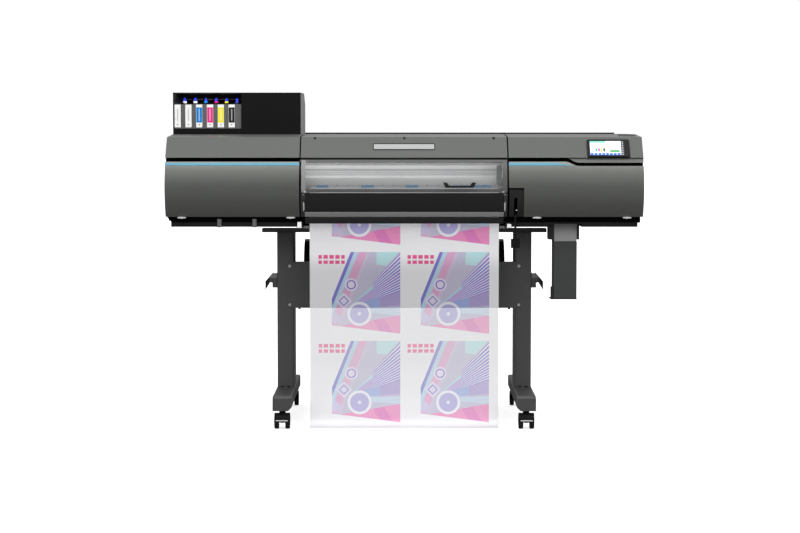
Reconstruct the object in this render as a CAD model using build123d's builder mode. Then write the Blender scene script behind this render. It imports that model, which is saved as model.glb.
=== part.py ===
from build123d import *
import os
from math import cos, radians, sin, sqrt

os.makedirs("parts", exist_ok=True)

# ---- Driving dimensions (mm): X to the right, Y to the back, Z up from the floor ----
half_width = 957
skin = 3
body_back = 375
cover_back = body_back - 3.5
frame_back = body_back - 6
top_z = 1176
tray_top_z = 845
tray_bottom_z = 806
tray_front_y = -268

# Front of the body: a slope, a recessed groove, then a rounded belly.
slope_top = (-218, 1166)
slope_foot = (-283, 1084)
belly_top = (-287, 1068)
belly_middle = (-317, 987)
belly_foot = (-283, 845)
inner_wall_y = -262

# Seams between the left, centre and right covers.
left_seam = -420
centre_left = -414.5
centre_right = 412.5
right_seam = 418
cover_low_z = 847
cover_high_z = 1068

# Film: the web runs up behind the machine, over the platen and down the front.
film_half_width = 381
film_half_thick = 0.4
film_z = 960
film_front_y = -250
film_back_y = 331

# Stand
column_x = 489
column_width = 68
column_depth = 180
foot_top_z = 133
foot_bottom_z = 73
column_top_z = 774
plate_top_z = 790
plate_step_z = 781
plate_step_y = -20
plate_half_depth = 80
plate_inner_x = 390
plate_outer_x = 585

# Supply roll
roll_y = 255
roll_z = 610
roll_radius = 75
core_radius = 38
stub_radius = 10
running_gap = 0.06


def circle_through(a, b, c):
    """Centre and radius of the circle through three (y, z) points."""
    ax, ay, bx, by, cx, cy = *a, *b, *c
    d = 2 * (ax * (by - cy) + bx * (cy - ay) + cx * (ay - by))
    a2, b2, c2 = ax * ax + ay * ay, bx * bx + by * by, cx * cx + cy * cy
    y = (a2 * (by - cy) + b2 * (cy - ay) + c2 * (ay - by)) / d
    z = (a2 * (cx - bx) + b2 * (ax - cx) + c2 * (bx - ax)) / d
    return y, z, sqrt((ax - y) ** 2 + (ay - z) ** 2)


belly_y, belly_z, belly_r = circle_through(belly_top, belly_middle, belly_foot)


def on_belly(z, inset=0.0):
    """(y, z) point of the belly arc at height z, moved inward by inset."""
    radius = belly_r - inset
    return (belly_y - sqrt(radius**2 - (z - belly_z) ** 2), z)


def block(x0, x1, y0, y1, z0, z1, mode=Mode.ADD):
    """Box between two corners, in the current part."""
    with Locations(((x0 + x1) / 2, (y0 + y1) / 2, (z0 + z1) / 2)):
        Box(x1 - x0, y1 - y0, z1 - z0, mode=mode)


def rod_x(x0, x1, y, z, radius, mode=Mode.ADD):
    """Round bar along X, in the current part."""
    with Locations(Location(((x0 + x1) / 2, y, z), (0, 90, 0))):
        Cylinder(radius, x1 - x0, mode=mode)


def rod_y(x, y0, y1, z, radius, mode=Mode.ADD):
    """Round bar along Y, in the current part."""
    with Locations(Location((x, (y0 + y1) / 2, z), (90, 0, 0))):
        Cylinder(radius, y1 - y0, mode=mode)


def rod_z(x, y, z0, z1, radius, mode=Mode.ADD):
    """Upright round bar, in the current part."""
    with Locations((x, y, (z0 + z1) / 2)):
        Cylinder(radius, z1 - z0, mode=mode)


def side_prism(points, x0, x1, mode=Mode.ADD):
    """Outline in the YZ plane pushed from x0 to x1, in the current part."""
    with BuildSketch(Plane.YZ.offset(x0)) as section:
        with BuildLine():
            Polyline(*points, close=True)
        make_face()
    extrude(section.sketch, amount=x1 - x0, mode=mode)


def front_prism(points, y0, y1, mode=Mode.ADD):
    """Outline in the XZ plane pushed from y0 back to y1, in the current part."""
    with BuildSketch(Plane.XZ.offset(-y0)) as section:
        with BuildLine():
            Polyline(*points, close=True)
        make_face()
    extrude(section.sketch, amount=y0 - y1, mode=mode)


def belly_sheet(x0, x1, z0, z1, proud=0.0, inset=skin, mode=Mode.ADD):
    """Curved sheet that follows the belly, in the current part."""
    middle = (z0 + z1) / 2
    with BuildSketch(Plane.YZ.offset(x0)) as section:
        with BuildLine():
            ThreePointArc(on_belly(z0, -proud), on_belly(middle, -proud), on_belly(z1, -proud))
            Line(on_belly(z1, -proud), on_belly(z1, inset))
            ThreePointArc(on_belly(z1, inset), on_belly(middle, inset), on_belly(z0, inset))
            Line(on_belly(z0, inset), on_belly(z0, -proud))
        make_face()
    extrude(section.sketch, amount=x1 - x0, mode=mode)


def save(piece, label):
    """Name a finished piece and write its file."""
    piece.part.label = label
    export_step(piece.part, f"parts/{label}.step")


# ---- Stand ----
column_front_y = -column_depth / 2
screw_x = 471
screw_heights = (476, 636)
screw_radius = 3
hook_hole_radius = 3.3
hook_hole_dy = 60
hook_hole_dz = 100
hook_hole_z = 350
flange_bolts = [(x, y) for x in (-13, 13) for y in (-103, 103)]
flange_thick = 4


def column(side):
    """Hollow upright between a stepped top plate and a base flange; side is -1 or 1."""
    with BuildPart() as post:
        with BuildSketch(Plane.XY.offset(foot_top_z)):
            with Locations((side * column_x, 0)):
                RectangleRounded(column_width, column_depth, 6)
                RectangleRounded(column_width - 6, column_depth - 6, 3, mode=Mode.SUBTRACT)
        extrude(amount=column_top_z - foot_top_z)
        inner, outer = sorted((side * plate_inner_x, side * plate_outer_x))
        block(inner, outer, -plate_half_depth, plate_step_y, column_top_z, plate_top_z)
        block(inner, outer, plate_step_y, plate_half_depth, column_top_z, plate_step_z)
        chamfer(post.part.faces().sort_by(Axis.Z)[-1].edges(), 1.5)
        x0 = side * column_x - 30
        block(x0, x0 + 60, -115, 115, foot_top_z, foot_top_z + flange_thick)
        for dx, y in flange_bolts:
            rod_z(side * column_x + dx, y, foot_top_z - 1, foot_top_z + 5, 3.2, Mode.SUBTRACT)
        for height in screw_heights:
            rod_y(side * screw_x, column_front_y - 1, column_front_y + 4, height, 3.2, Mode.SUBTRACT)
        # Four threaded positions on the outside for an accessory plate.
        wall_x = side * (column_x + column_width / 2 - 1.5)
        for dy in (-hook_hole_dy / 2, hook_hole_dy / 2):
            for dz in (-hook_hole_dz / 2, hook_hole_dz / 2):
                rod_x(wall_x - 3, wall_x + 3, dy, hook_hole_z + dz, hook_hole_radius, Mode.SUBTRACT)
    return post


left_column = column(-1)
save(left_column, "left_column")
right_column = column(1)
save(right_column, "right_column")

foot_width = 76
foot_half_length = 360
foot_bevel = 14
stem_y = 322
stem_radius = 6


def foot(side):
    """Box beam with a bevelled inner edge, open below, with a bored block for each caster stem."""
    outline = [
        (-foot_half_length, foot_top_z - 10),
        (-foot_half_length + 10, foot_top_z),
        (foot_half_length - 10, foot_top_z),
        (foot_half_length, foot_top_z - 10),
        (foot_half_length, foot_bottom_z),
        (-foot_half_length, foot_bottom_z),
    ]
    x0 = side * column_x - foot_width / 2
    with BuildPart() as beam:
        side_prism(outline, x0, x0 + foot_width)
        long_edges = beam.part.edges().filter_by(Axis.Y).group_by(Axis.Z)
        fillet(long_edges[-1], 5)
        lower_edges = beam.part.edges().filter_by(Axis.Y).group_by(Axis.Z)[0].sort_by(Axis.X)
        chamfer(lower_edges[0 if side > 0 else -1], foot_bevel)
        block(x0 + 18, x0 + foot_width - 18, -272, 272, foot_bottom_z - 1, foot_top_z - 4, Mode.SUBTRACT)
        for y in (-stem_y, stem_y):
            rod_z(side * column_x, y, foot_bottom_z - 1, 112, stem_radius + running_gap, Mode.SUBTRACT)
        for dx, y in flange_bolts:
            rod_z(side * column_x + dx, y, foot_top_z - 12, foot_top_z + 1, 3.2, Mode.SUBTRACT)
    return beam


left_foot = foot(-1)
save(left_foot, "left_foot")
right_foot = foot(1)
save(right_foot, "right_foot")

beam_low_z = 463
beam_high_z = 652
beam_front_y = column_front_y - 2

with BuildPart() as crossbeam:
    block(-482, 482, beam_front_y, column_front_y, beam_low_z, beam_high_z)
    for z in (beam_low_z, beam_high_z - 2):
        block(-454, 454, column_front_y - 1, -50, z, z + 2)
    for x in (-432, 432):
        rod_z(x, -75, beam_low_z - 7, beam_low_z + 1, 5)
    for x in (-screw_x, screw_x):
        for z in screw_heights:
            rod_y(x, beam_front_y - 1, column_front_y + 1, z, 3.2, Mode.SUBTRACT)
save(crossbeam, "crossbeam")

with BuildPart() as stand_screws:
    for x in (-screw_x, screw_x):
        for z in screw_heights:
            rod_y(x, beam_front_y - 4, beam_front_y, z, 6)
            rod_y(x, beam_front_y - 4, column_front_y + 8, z, screw_radius)
            rod_y(x, beam_front_y - 5, beam_front_y - 2, z, 2.5, Mode.SUBTRACT)
    seat_z = foot_top_z + flange_thick
    for x in (-column_x, column_x):
        for dx, y in flange_bolts:
            rod_z(x + dx, y, seat_z, seat_z + 4, 6)
            rod_z(x + dx, y, foot_top_z - 10, seat_z + 4, screw_radius)
            rod_z(x + dx, y, seat_z + 2, seat_z + 5, 2.5, Mode.SUBTRACT)
save(stand_screws, "stand_screws")

pad_half = 11
pad_rows = ((-66, plate_top_z), (66, plate_step_z))
front_blocks = ((-421, 826), (421, 818))
front_block_half = 8
front_block_thick = 9
front_block_low_z = 803

with BuildPart() as mounting_pads:
    for x in (-430, -403, 403, 430):
        for y, pad_low_z in pad_rows:
            block(x - pad_half, x + pad_half, y - pad_half, y + pad_half, pad_low_z, tray_bottom_z)
    # Two more stand on the tray's front face, one at each end of the film slot.
    for x, block_high_z in front_blocks:
        x0, x1 = x - front_block_half, x + front_block_half
        y0 = tray_front_y - front_block_thick
        block(x0, x1, y0, tray_front_y, front_block_low_z, block_high_z)
save(mounting_pads, "mounting_pads")

hook_low_z = 536
hook_high_z = 606
hook_out_x = 572
column_out_x = column_x + column_width / 2
hook_outline = [
    (column_out_x, hook_high_z),
    (column_out_x + 20, hook_high_z),
    (hook_out_x, hook_high_z - 34),
    (hook_out_x, hook_low_z),
    (hook_out_x - 20, hook_high_z - 38),
    (column_out_x + 20, hook_high_z - 40),
    (column_out_x + 20, hook_low_z + 10),
    (column_out_x, hook_low_z + 10),
]

with BuildPart() as side_hooks:
    for side in (-1, 1):
        outline = [(side * x, z) for x, z in hook_outline]
        front_prism(outline, -80, -77)
        inner, outer = sorted((side * column_out_x, side * (column_out_x + skin)))
        block(inner, outer, -80, -30, hook_low_z + 10, hook_high_z)
        strap = [
            (side * (column_out_x + 16), hook_high_z),
            (side * (column_out_x + 20), hook_high_z),
            (side * hook_out_x, hook_high_z - 34),
            (side * hook_out_x, hook_high_z - 38),
        ]
        front_prism(strap, -80, -30)
save(side_hooks, "side_hooks")

# ---- Casters: a swivelling fork between twin wheels ----
axle_y = 341
axle_z = 30
axle_radius = 4
wheel_radius = 30
wheel_inner = 13
wheel_outer = 31
fork_half = 8
boss_radius = 7
hood_radius = 34
hood_skin = 2


def caster_fork(side, end):
    """Fork with its stem and hood; side is left or right, end is front (-1) or rear (1)."""
    x = side * column_x
    near, far = sorted((end * (stem_y - 14), end * (axle_y + 6)))
    with BuildPart() as fork:
        with BuildSketch(Plane.YZ.offset(x - wheel_outer)):
            with Locations((end * axle_y, axle_z)):
                Circle(hood_radius)
                Circle(hood_radius - hood_skin, mode=Mode.SUBTRACT)
            with Locations((end * axle_y, axle_z - hood_radius / 2)):
                Rectangle(2 * hood_radius, hood_radius, mode=Mode.SUBTRACT)
        extrude(amount=2 * wheel_outer)
        outer_rims = fork.part.edges().filter_by(GeomType.CIRCLE).group_by(SortBy.RADIUS)[-1]
        fillet(outer_rims, hood_skin - 0.5)
        rod_x(x - fork_half, x + fork_half, end * axle_y, axle_z, boss_radius)
        block(x - fork_half, x + fork_half, near, far, axle_z + 2, 64)
        rod_z(x, end * stem_y, 62, 70, 13)
        rod_z(x, end * stem_y, 62, 108, stem_radius)
        rod_x(x - 20, x + 20, end * axle_y, axle_z, axle_radius + running_gap, Mode.SUBTRACT)
    return fork


def caster_wheels(side, end):
    """Two wheels on one axle."""
    x = side * column_x
    y = end * axle_y
    with BuildPart() as wheels:
        rod_x(x - wheel_outer, x + wheel_outer, y, axle_z, wheel_radius)
        rod_x(x - wheel_inner, x + wheel_inner, y, axle_z, wheel_radius + 1, Mode.SUBTRACT)
        rims = wheels.part.edges().filter_by(GeomType.CIRCLE).group_by(SortBy.RADIUS)[-1]
        fillet(rims, 3)
        for x0 in (x - wheel_outer - 1, x + wheel_outer - 3):
            rod_x(x0, x0 + 4, y, axle_z, 22, Mode.SUBTRACT)
        rod_x(x - wheel_outer + 2, x + wheel_outer - 2, y, axle_z, axle_radius)
    return wheels


for side, side_name in ((-1, "left"), (1, "right")):
    for end, end_name in ((-1, "front"), (1, "rear")):
        save(caster_fork(side, end), f"caster_fork_{end_name}_{side_name}")
        save(caster_wheels(side, end), f"caster_wheels_{end_name}_{side_name}")

# ---- Body frame ----
lever_x = 445
panel_left = 420
panel_right = 477
panel_top_z = 962
bulkheads = ((-419.5, -416.5), (414, 417))
pinch_y = -60
grit_radius = 12
grit_z = film_z - film_half_thick - 0.2 - grit_radius
arm_pivot_y = -10
arm_pivot_z = 990
arm_shaft_radius = 5
grit_shaft_radius = 6
front_inside = (-270, 1091)
hinge_pin_radius = 3
hinge_ear_radius = 6
cover_hinge_inset = 10
left_hinge_z = 1062
right_hinge_z = 1045
window_hinge_z = 1071
window_hinge_y = on_belly(window_hinge_z, 1.5)[0]
ear_width = 3
ears = (
    (-949, left_hinge_z),
    (-428, left_hinge_z),
    (425, right_hinge_z),
    (946, right_hinge_z),
)
recess_left = 580
recess_right = 712
recess_z = 818
crest_inside = (-214.5, 1161.5)
roof_inside_z = 1172

with BuildPart() as base_frame:
    tray = [
        (-953, tray_top_z),
        (-937, 827),
        (-937, tray_bottom_z),
        (937, tray_bottom_z),
        (937, 823),
        (948, 823),
        (948, tray_top_z),
    ]
    front_prism(tray, tray_front_y, frame_back)
    block(-931, 931, -265, frame_back - skin, tray_bottom_z + skin, tray_top_z + 1, Mode.SUBTRACT)
    # Recess under the right end that takes the top of the waste bottle's bracket.
    block(recess_left - skin, recess_right + skin, tray_front_y, -121, tray_bottom_z, recess_z + skin)
    block(recess_left, recess_right, tray_front_y - 1, -124, tray_bottom_z - 1, recess_z, Mode.SUBTRACT)
    # The film leaves in front and enters behind through two openings in the tray.
    block(-405, 405, -270, -200, tray_bottom_z - 1, tray_top_z + 1, Mode.SUBTRACT)
    block(-405, 405, 300, body_back, tray_bottom_z - 1, tray_top_z + 1, Mode.SUBTRACT)
    for x in (-743, -602):
        rod_z(x, tray_front_y - 2, tray_bottom_z - 2, 838, 9)
    # Inner front walls close the two end bays behind the covers.
    for x0, x1 in ((-947, -416.5), (414, 947)):
        block(x0, x1, inner_wall_y, inner_wall_y + skin, tray_top_z - 15, 1089)
    # Bulkheads either side of the film path, open where the carriages pass.
    bulkhead = [
        (inner_wall_y, tray_bottom_z),
        (inner_wall_y, 1089),
        front_inside,
        crest_inside,
        (0, roof_inside_z),
        (frame_back, roof_inside_z),
        (frame_back, tray_bottom_z),
    ]
    for x0, x1 in bulkheads:
        side_prism(bulkhead, x0, x1)
        block(x0 - 1, x1 + 1, -216, -92, 955, 1110, Mode.SUBTRACT)
        block(x0 - 1, x1 + 1, -93, 80, 1001, 1110, Mode.SUBTRACT)
        rod_x(x0 - 1, x1 + 1, pinch_y, grit_z, grit_shaft_radius + running_gap, Mode.SUBTRACT)
        rod_x(
            x0 - 1, x1 + 1, arm_pivot_y, arm_pivot_z, arm_shaft_radius + running_gap, Mode.SUBTRACT
        )
    # Hinge ears for the two front covers, and for the window beside the bulkheads.
    for x0, z in ears:
        y = on_belly(z, cover_hinge_inset)[0]
        rod_x(x0, x0 + ear_width, y, z, hinge_ear_radius)
        block(x0, x0 + ear_width, y, inner_wall_y + 1, z - 5, z + 5)
        rod_x(x0 - 1, x0 + 4, y, z, hinge_pin_radius + running_gap, Mode.SUBTRACT)
    for x0, x1 in bulkheads:
        rod_x(x0, x1, window_hinge_y, window_hinge_z, hinge_ear_radius)
        block(x0, x1, window_hinge_y, inner_wall_y + 1, window_hinge_z - 5, window_hinge_z + 5)
        rod_x(
            x0 - 1,
            x1 + 1,
            window_hinge_y,
            window_hinge_z,
            hinge_pin_radius + running_gap,
            Mode.SUBTRACT,
        )
    # Slotted panel around the loading lever.
    belly_sheet(panel_left, panel_right, 848, panel_top_z, 0, skin)
    belly_sheet(panel_left, panel_left + skin, 848, panel_top_z, 0, 58)
    block(lever_x - 15, lever_x + 15, inner_wall_y - 1, -255, 838, 940, Mode.SUBTRACT)
    block(lever_x - 6.5, lever_x + 6.5, -330, -270, tray_bottom_z, 924, Mode.SUBTRACT)
save(base_frame, "base_frame")


def cover_lugs(hinge_z, x_low, x_high):
    """Two lugs inside a front cover, each with a pin that points outward into its ear."""
    y = on_belly(hinge_z, cover_hinge_inset)[0]
    for x0, pin_low, pin_high in (
        (x_low + 3.5, x_low, x_low + 4),
        (x_high - 7.5, x_high - 4, x_high),
    ):
        rod_x(x0, x0 + 4, y, hinge_z, 5)
        block(x0, x0 + 4, y - 8.5, y, hinge_z - 4, hinge_z + 1)
        rod_x(pin_low, pin_high, y, hinge_z, hinge_pin_radius)


def side_plate(x0):
    """End plate of the body, set just behind the covers and notched round their hinges."""
    inset = skin + 1.5
    notch_inset = 18
    low, high = 848, 1022
    with BuildPart() as plate:
        with BuildSketch(Plane.YZ.offset(x0)) as outline:
            with BuildLine():
                ThreePointArc(on_belly(low, inset), on_belly(950, inset), on_belly(high, inset))
                Polyline(
                    on_belly(high, inset),
                    on_belly(high + 8, notch_inset),
                    on_belly(1056, notch_inset),
                    (-262, 1070),
                    (-262, 1089),
                    front_inside,
                    crest_inside,
                    (0, roof_inside_z),
                    (cover_back - 0.5, roof_inside_z),
                    (cover_back - 0.5, low),
                    on_belly(low, inset),
                )
            make_face()
        extrude(amount=skin)
    return plate


left_side_plate = side_plate(-half_width)
save(left_side_plate, "left_side_plate")
right_side_plate = side_plate(half_width - skin)
save(right_side_plate, "right_side_plate")

# ---- Top covers ----
slope_skin = 4
top_outline = [
    slope_foot,
    slope_top,
    (0, top_z),
    (cover_back, top_z),
    (cover_back, top_z - skin),
    (0, top_z - skin),
    (slope_top[0] + 1.7, slope_top[1] - skin),
    (slope_foot[0] + slope_skin + 2.4, slope_foot[1] + skin),
    (-264, slope_foot[1] + skin),
    (-264, slope_foot[1]),
]
crest_radius = 8
fascia_low_z = 1064
s_curve_start = 640
s_curve_end = 702
cap_span = (872, 938)


def crest_edge(cover, x):
    """The edge where the slope meets the top."""
    return cover.part.edges().filter_by(Axis.X).sort_by_distance((x, *slope_top))[0]


with BuildPart() as left_top_cover:
    side_prism(top_outline, -half_width, left_seam)
    fillet(crest_edge(left_top_cover, -700), crest_radius)
save(left_top_cover, "left_top_cover")

with BuildPart() as centre_top_cover:
    side_prism(top_outline, centre_left, centre_right)
    fillet(crest_edge(centre_top_cover, 0), crest_radius)
    for x in (-360, 0, 360):
        rod_z(x, slope_top[0] - 2, top_z - 26, top_z + 2, 6, Mode.SUBTRACT)
save(centre_top_cover, "centre_top_cover")


def s_curve_region(z_left, z_right, z_far, x0, x1):
    """Face in XZ between an S-curved edge and the height z_far."""
    with BuildSketch(Plane.XZ.offset(400)) as region:
        with BuildLine():
            Line((x0, z_left), (s_curve_start, z_left))
            Spline(
                (s_curve_start, z_left), (s_curve_end, z_right), tangents=[(1, 0), (1, 0)]
            )
            Polyline((s_curve_end, z_right), (x1, z_right), (x1, z_far), (x0, z_far), (x0, z_left))
        make_face()
    return region.sketch


fascia_cut = s_curve_region(slope_foot[1], fascia_low_z, 1000, 400, 1000)
cover_cut = s_curve_region(cover_high_z, 1051, 1100, 400, 1000)

with BuildPart() as right_top_cover:
    side_prism(top_outline, right_seam, half_width)
    fillet(crest_edge(right_top_cover, 700), crest_radius)
    belly_sheet(s_curve_start - 5, half_width, 1040, slope_foot[1] + 2)
    extrude(fascia_cut, amount=-135, mode=Mode.SUBTRACT)
    block(*cap_span, -150, -110, top_z - 8, top_z)
save(right_top_cover, "right_top_cover")

# ---- Front covers ----
notch_right = 478.5
notch_top_z = 964

with BuildPart() as left_front_cover:
    belly_sheet(-half_width, left_seam, cover_low_z, cover_high_z)
    cover_lugs(left_hinge_z, -949, -425)
save(left_front_cover, "left_front_cover")

with BuildPart() as right_front_cover:
    belly_sheet(right_seam, half_width, cover_low_z, cover_high_z)
    block(right_seam - 1, notch_right, -330, -270, cover_low_z - 1, notch_top_z, Mode.SUBTRACT)
    extrude(cover_cut, amount=-200, mode=Mode.SUBTRACT)
    cover_lugs(right_hinge_z, 425, 949)
save(right_front_cover, "right_front_cover")

accent_low_z = 1053
accent_high_z = 1064
accent_proud = 1.2
accent_point_x = 692

with BuildPart() as left_accent_strip:
    belly_sheet(-half_width, left_seam, accent_low_z, accent_high_z, accent_proud, 0)
save(left_accent_strip, "left_accent_strip")

with BuildPart() as right_accent_strip:
    belly_sheet(right_seam, accent_point_x, accent_low_z - 3, accent_high_z, accent_proud, 0)
    with BuildSketch(Plane.XZ.offset(400)) as above_taper:
        with BuildLine():
            Line((s_curve_start - 30, accent_high_z), (accent_point_x, 1048))
            Polyline(
                (accent_point_x, 1048), (accent_point_x + 1, 1080),
                (s_curve_start - 30, 1080), (s_curve_start - 30, accent_high_z),
            )
        make_face()
    extrude(above_taper.sketch, amount=-200, mode=Mode.SUBTRACT)
    below = [(400, 1040), (400, accent_low_z), (630, accent_low_z), (760, 1046), (760, 1040)]
    front_prism(below, -400, -200, Mode.SUBTRACT)
save(right_accent_strip, "right_accent_strip")


def thumb_catches(centres):
    """Oval finger catches along the lower edge of a front cover."""
    with BuildPart() as catches:
        with BuildSketch(Plane.XZ.offset(293)):
            with Locations(*[(x, 844) for x in centres]):
                Ellipse(18, 3.6)
        extrude(amount=-9)
        fillet(catches.part.faces().sort_by(Axis.Y)[: len(centres)].edges(), 0.6)
        rod_x(-half_width, half_width, belly_y, belly_z, belly_r, Mode.SUBTRACT)
    return catches


left_cover_latches = thumb_catches((-892, -455))
save(left_cover_latches, "left_cover_latches")
right_cover_latches = thumb_catches((532, 892))
save(right_cover_latches, "right_cover_latches")

# ---- Rear cover ----
rear_inside = body_back - skin
vent_count = 9
vent_pitch = 14

with BuildPart() as rear_cover:
    block(-954, 954, rear_inside, body_back, cover_low_z, top_z)
    block(-400, 400, rear_inside - 1, body_back + 1, cover_low_z - 1, 985, Mode.SUBTRACT)
    for x in (-700, 700):
        for index in range(vent_count):
            z = 920 + index * vent_pitch
            block(x - 90, x + 90, rear_inside - 1, body_back + 1, z, z + 5, Mode.SUBTRACT)
save(rear_cover, "rear_cover")

# ---- Touch panel and badge, lying on the slope ----
slope_run = slope_top[0] - slope_foot[0]
slope_rise = slope_top[1] - slope_foot[1]
panel_centre_x = 818.5
panel_width = 171
panel_height = 88
panel_along = 0.42
screen_shift = -5
panel_thick = 7
screen_width = 138
screen_height = 71


def on_slope(x, along):
    """Plane on the slope, along its length from the foot (0) to the top (1)."""
    origin = (x, slope_foot[0] + along * slope_run, slope_foot[1] + along * slope_rise)
    return Plane(origin=origin, x_dir=(1, 0, 0), z_dir=(0, -slope_rise, slope_run))


with BuildPart() as touch_panel:
    with BuildSketch(on_slope(panel_centre_x, panel_along)):
        RectangleRounded(panel_width, panel_height, 6)
    extrude(amount=panel_thick)
    outward = Axis((0, 0, 0), (0, -slope_rise, slope_run))
    fillet(touch_panel.part.faces().sort_by(outward)[-1].edges(), 1.5)
    with BuildSketch(on_slope(panel_centre_x + screen_shift, panel_along).offset(panel_thick - 2)):
        Rectangle(screen_width, screen_height)
    extrude(amount=4, mode=Mode.SUBTRACT)
save(touch_panel, "touch_panel")

with BuildPart() as touch_screen:
    with BuildSketch(on_slope(panel_centre_x + screen_shift, panel_along).offset(panel_thick - 2)):
        Rectangle(screen_width - 0.6, screen_height - 0.6)
    extrude(amount=1.4)
save(touch_screen, "touch_screen")

with BuildPart() as badge:
    with BuildSketch(on_slope(-1, 0.53)):
        RectangleRounded(250, 34, 5)
    extrude(amount=1.5)
save(badge, "badge")

# ---- Window cover ----
window_half = 411
window_low_z = 946
window_high_z = 1077
glass_low_z = 960
glass_high_z = 1066
glass_half = 394
bumper_radius = 8

with BuildPart() as window_frame:
    belly_sheet(-window_half, window_half, window_low_z, window_high_z, 1, 4)
    block(-glass_half, glass_half, -330, -270, glass_low_z, glass_high_z, Mode.SUBTRACT)
    # A round bumper on each lower corner.
    for x in (-window_half + 10, window_half - 10):
        y = on_belly(window_low_z + 9)[0]
        rod_y(x, y - 4.5, y + 2.5, window_low_z + 9, bumper_radius)
    rod_x(-419, -402, window_hinge_y, window_hinge_z, hinge_pin_radius)
    rod_x(402, 416.5, window_hinge_y, window_hinge_z, hinge_pin_radius)
save(window_frame, "window_frame")

with BuildPart() as window_pane:
    belly_sheet(-glass_half, glass_half, glass_low_z, glass_high_z, 0, 3)
save(window_pane, "window_pane")

handle_outline = [
    (154, 986),
    (170, 986),
    (178, 973),
    (262, 973),
    (270, 986),
    (286, 986),
    (276, 965),
    (164, 965),
]
handle_front_y = -334

with BuildPart() as window_handle:
    front_prism(handle_outline, handle_front_y, -300)
    block(174, 266, handle_front_y + 8, -299, 960, 990, Mode.SUBTRACT)
    rod_x(150, 290, belly_y, belly_z, belly_r, Mode.SUBTRACT)
save(window_handle, "window_handle")

# ---- Front apron, lip with end brackets, lower guard ----
with BuildPart() as front_apron:
    belly_sheet(-397, 396, 868, 944, 0, 3)
save(front_apron, "front_apron")

bracket_side = [(-262, 847), (-280, 847), (-300, 870), (-300, 943), (-262, 943)]

with BuildPart() as apron_lip:
    belly_sheet(-398, 398, 848, 866.5, 3, 3)
    fillet(apron_lip.part.edges().filter_by(Axis.X).group_by(Axis.Y)[0], 1)
    for x0, x1 in ((-414, -398), (398, 412)):
        belly_sheet(x0, x1, 848, 943, 0, 3)
        x_plate = x0 if x0 < 0 else x1 - skin
        side_prism(bracket_side, x_plate, x_plate + skin)
save(apron_lip, "apron_lip")

with BuildPart() as lower_guard:
    guard = [(-289, 845), (-284, 820), (-262, 820), (-262, 823), (-281, 823), (-286, 845)]
    side_prism(guard, -397, 397)
save(lower_guard, "lower_guard")

# ---- Platen, film rollers and lifting arms ----
platen_top = film_z - 1
front_bend = 20
rear_bend = 80
web_front_centre = (film_front_y + front_bend, film_z - front_bend)
web_rear_centre = (film_back_y - rear_bend, film_z - rear_bend)

with BuildPart() as platen:
    with BuildSketch(Plane.YZ.offset(bulkheads[0][1])):
        with BuildLine():
            CenterArc(web_front_centre, front_bend - 1, 90, 90)
            Polyline(
                (film_front_y + 1, web_front_centre[1]),
                (film_front_y + 1, 934),
                (-242, 932),
                (236, 932),
                (web_rear_centre[0], platen_top - 5),
            )
            CenterArc(web_rear_centre, rear_bend - 6, 0, 90)
            Polyline(
                (film_back_y - 6, web_rear_centre[1]),
                (film_back_y - 6, 850),
                (film_back_y - 1, 850),
                (film_back_y - 1, web_rear_centre[1]),
            )
            CenterArc(web_rear_centre, rear_bend - 1, 0, 90)
            Line((web_rear_centre[0], platen_top), (web_front_centre[0], platen_top))
        make_face()
    extrude(amount=bulkheads[1][0] - bulkheads[0][1])
    rod_x(-430, 430, pinch_y, grit_z, grit_radius + 0.8, Mode.SUBTRACT)
save(platen, "platen")

with BuildPart() as grit_roller:
    rod_x(-390, 390, pinch_y, grit_z, grit_radius)
    rod_x(-419, 416.5, pinch_y, grit_z, grit_shaft_radius)
save(grit_roller, "grit_roller")

pinch_radius = 8
pinch_z = film_z + film_half_thick + 0.2 + pinch_radius
pinch_spacing = 92
pinch_count = 8
pinch_centres = [(index - (pinch_count - 1) / 2) * pinch_spacing for index in range(pinch_count)]
pin_radius = 2

with BuildPart() as pinch_arms:
    rod_x(-419, 416.5, arm_pivot_y, arm_pivot_z, arm_shaft_radius)
    arm = [(-10, 985), (-14, 996), (-60, 980), (-72, 973), (-72, 966), (-54, 964), (-40, 972)]
    for x in pinch_centres:
        for x0 in (x - 14, x + 11):
            side_prism(arm, x0, x0 + 3)
            rod_x(x0 - 1, x0 + 4, pinch_y, pinch_z, pin_radius + running_gap, Mode.SUBTRACT)
        block(x - 14, x + 14, -50, -16, 985, 988)
save(pinch_arms, "pinch_arms")

with BuildPart() as pinch_rollers:
    for x in pinch_centres:
        rod_x(x - 10, x + 10, pinch_y, pinch_z, pinch_radius)
        rod_x(x - 14, x + 14, pinch_y, pinch_z, pin_radius)
save(pinch_rollers, "pinch_rollers")

lever_pivot_y = -215
lever_pivot_z = 885
lever_elbow = (-291, 852)

with BuildPart() as loading_lever:
    rod_x(lever_x - 5, lever_x + 5, lever_pivot_y, lever_pivot_z, 14)
    with BuildLine() as lever_path:
        FilletPolyline(
            (lever_x, lever_pivot_y, lever_pivot_z),
            (lever_x, *lever_elbow),
            (lever_x, lever_elbow[0] - 1, 752),
            radius=12,
        )
    with BuildSketch(lever_path.line ^ 0):
        Circle(4.5)
    sweep()
    with BuildSketch(Plane.XY.offset(723)):
        with Locations((lever_x, lever_elbow[0] - 1)):
            RectangleRounded(36, 18, 7)
    extrude(amount=36)
save(loading_lever, "loading_lever")

# ---- Carriage rail and the two carriages ----
guide_low_z = 1036
guide_high_z = 1048
guide_front_y = 12
rail_front_y = 20

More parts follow.
